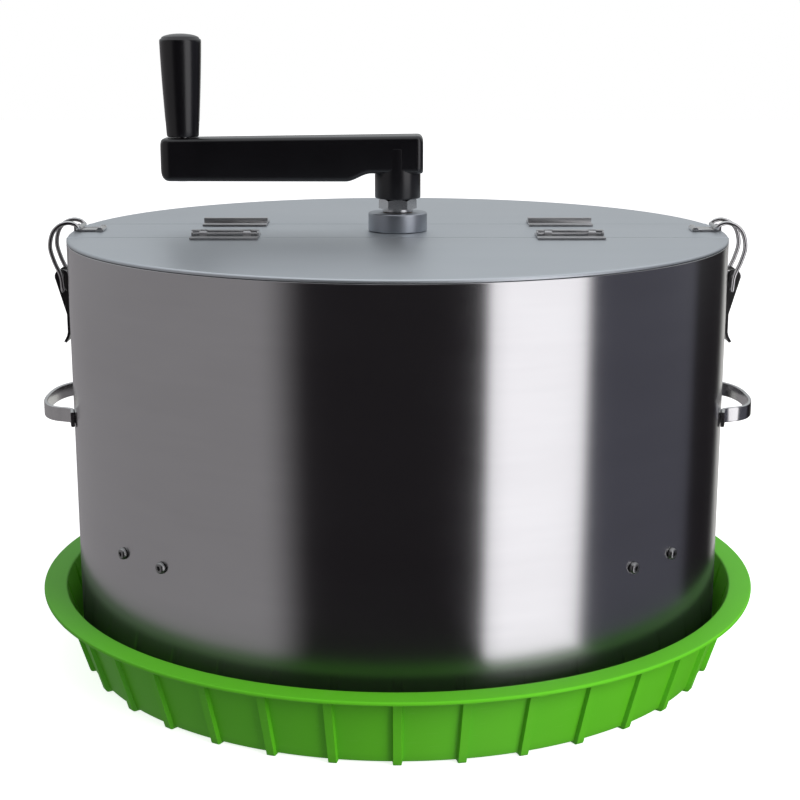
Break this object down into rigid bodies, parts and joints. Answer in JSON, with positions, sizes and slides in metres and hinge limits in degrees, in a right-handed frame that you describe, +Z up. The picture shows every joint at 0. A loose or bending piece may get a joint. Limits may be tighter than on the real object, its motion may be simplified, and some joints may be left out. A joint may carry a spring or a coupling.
{
  "type": "honey extractor",
  "caption": "Tabletop honey extractor: steel drum with hinged lid flaps, side latches and a hand crank that spins a comb cage, standing in a ribbed drip tray.",
  "frame": {"origin": "on the ground under the middle of the drip tray", "axes": "+Z up; the front is -Y; the latches and handles are at -X and +X; the crank arm points to -X"},
  "size_m": [0.446, 0.446, 0.3788],
  "materials": {
    "steel": "brushed stainless steel, with the grain round the drum",
    "lid": "satin stainless steel sheet",
    "bright": "bright plated or polished steel",
    "dark": "dark plated steel",
    "aluminium": "machined aluminium",
    "black": "satin black moulded plastic",
    "green": "bright green moulded plastic",
    "rubber": "black rubber",
    "bronze": "plain bearing bronze"
  },
  "bodies": {
    "tray": {"drip_tray": "green"},
    "drum": {"drum_shell": "steel", "rim_seal": "rubber", "frame_arm_back_right": "bright", "frame_arm_back_left": "bright", "frame_arm_front_left": "bright", "frame_arm_front_right": "bright", "frame_bolt_back_right_a": "bright", "frame_bolt_back_right_b": "bright", "frame_bolt_back_left_a": "bright", "frame_bolt_back_left_b": "bright", "frame_bolt_front_left_a": "bright", "frame_bolt_front_left_b": "bright", "frame_bolt_front_right_a": "bright", "frame_bolt_front_right_b": "bright", "frame_hub": "bright", "axle_post": "bright", "axle_nut": "bright", "handle_right": "bright", "handle_left": "bright", "latch_base_right": "bright", "latch_base_left": "bright"},
    "lid": {"lid_bridge": "lid", "bearing_housing": "aluminium", "housing_nut": "aluminium", "spindle_bush": "bronze", "keeper_right": "bright", "keeper_left": "bright", "hinge_cover_front_right": "bright", "hinge_cover_front_left": "bright", "hinge_cover_back_right": "bright", "hinge_cover_back_left": "bright"},
    "flap_front": {"flap_front": "lid", "hinge_leaf_front_right": "bright", "hinge_leaf_front_left": "bright"},
    "flap_back": {"flap_back": "lid", "hinge_leaf_back_right": "bright", "hinge_leaf_back_left": "bright"},
    "crank": {"crank_spindle": "bright", "lock_nut": "bright", "crank_arm": "black", "grip_pin": "bright"},
    "grip": {"grip_sleeve": "black"},
    "cage": {"cage_hub": "bright", "cage_bush": "bronze", "cage_bottom": "bright", "cage_top": "bright", "cage_screen_right": "steel", "cage_screen_back": "steel", "cage_screen_left": "steel", "cage_screen_front": "steel", "cage_post_right": "bright", "cage_post_back": "bright", "cage_post_left": "bright", "cage_post_front": "bright"},
    "lever_right": {"latch_lever_right": "dark"},
    "bail_right": {"latch_bail_right": "bright"},
    "lever_left": {"latch_lever_left": "dark"},
    "bail_left": {"latch_bail_left": "bright"}
  },
  "joints": [
    {"name": "drum_lift", "type": "slide", "parent": "tray", "child": "drum", "axis": [0, 0, 1], "range_m": [0, 0.1]},
    {"name": "lid_lift", "type": "slide", "parent": "drum", "child": "lid", "axis": [0, 0, 1], "range_m": [0, 0.12]},
    {"name": "flap_front_hinge", "type": "hinge", "parent": "lid", "child": "flap_front", "pos_m": [0, -0.034, 0.2628], "axis": [-1, 0, 0], "range_deg": [0, 95]},
    {"name": "flap_back_hinge", "type": "hinge", "parent": "lid", "child": "flap_back", "pos_m": [0, 0.034, 0.2628], "axis": [1, 0, 0], "range_deg": [0, 95]},
    {"name": "cage_spin", "type": "hinge", "parent": "drum", "child": "cage", "pos_m": [0, 0, 0.12], "axis": [0, 0, 1], "continuous": true},
    {"name": "crank_turn", "type": "hinge", "parent": "lid", "child": "crank", "pos_m": [0, 0, 0.2606], "axis": [0, 0, 1], "continuous": true},
    {"name": "grip_spin", "type": "hinge", "parent": "crank", "child": "grip", "pos_m": [-0.1304, 0, 0.3406], "axis": [0, 0, 1], "continuous": true},
    {"name": "latch_right_lever", "type": "hinge", "parent": "drum", "child": "lever_right", "pos_m": [0.2066, 0, 0.2331], "axis": [0, -1, 0], "range_deg": [0, 140]},
    {"name": "latch_right_bail", "type": "hinge", "parent": "lever_right", "child": "bail_right", "pos_m": [0.2056, 0, 0.2246], "axis": [0, 1, 0], "range_deg": [0, 290]},
    {"name": "latch_left_lever", "type": "hinge", "parent": "drum", "child": "lever_left", "pos_m": [-0.2066, 0, 0.2331], "axis": [0, 1, 0], "range_deg": [0, 140]},
    {"name": "latch_left_bail", "type": "hinge", "parent": "lever_left", "child": "bail_left", "pos_m": [-0.2056, 0, 0.2246], "axis": [0, -1, 0], "range_deg": [0, 290]}
  ],
  "couplings": [
    {"joint": "crank_turn", "follows": "cage_spin", "ratio": 1},
    {"joint": "latch_right_lever", "follows": "lid_lift", "rad_per_m": 20.361},
    {"joint": "latch_right_bail", "follows": "lid_lift", "rad_per_m": 42.176},
    {"joint": "latch_left_lever", "follows": "lid_lift", "rad_per_m": 20.361},
    {"joint": "latch_left_bail", "follows": "lid_lift", "rad_per_m": 42.176}
  ]
}
